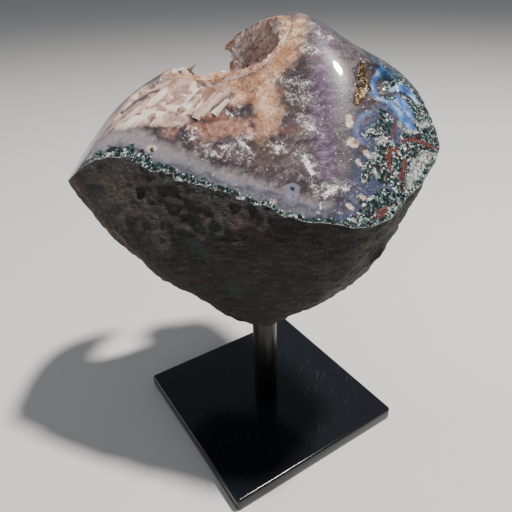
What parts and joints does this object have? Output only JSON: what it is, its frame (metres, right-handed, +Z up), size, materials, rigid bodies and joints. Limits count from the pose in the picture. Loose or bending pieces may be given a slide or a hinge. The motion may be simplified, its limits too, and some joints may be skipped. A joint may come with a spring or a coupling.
{
  "type": "crystal geode on a display stand",
  "caption": "Half-polished crystal geode with a crystal-lined hollow, held on a round post above a square black plate.",
  "frame": {"origin": "centre of the plate's underside", "axes": "+Z up, X and Y along the plate's sides"},
  "size_m": [0.143, 0.1461, 0.2019],
  "materials": {
    "stone": "polished dome, rough natural outside",
    "crystal": "sparkling pink crystal faces",
    "post": "satin black",
    "plate": "gloss black, lightly dusty"
  },
  "bodies": {
    "root": {"geode_stone": "stone", "crystal_crust": "crystal", "stand_post": "post", "stand_plate": "plate"}
  },
  "joints": []
}
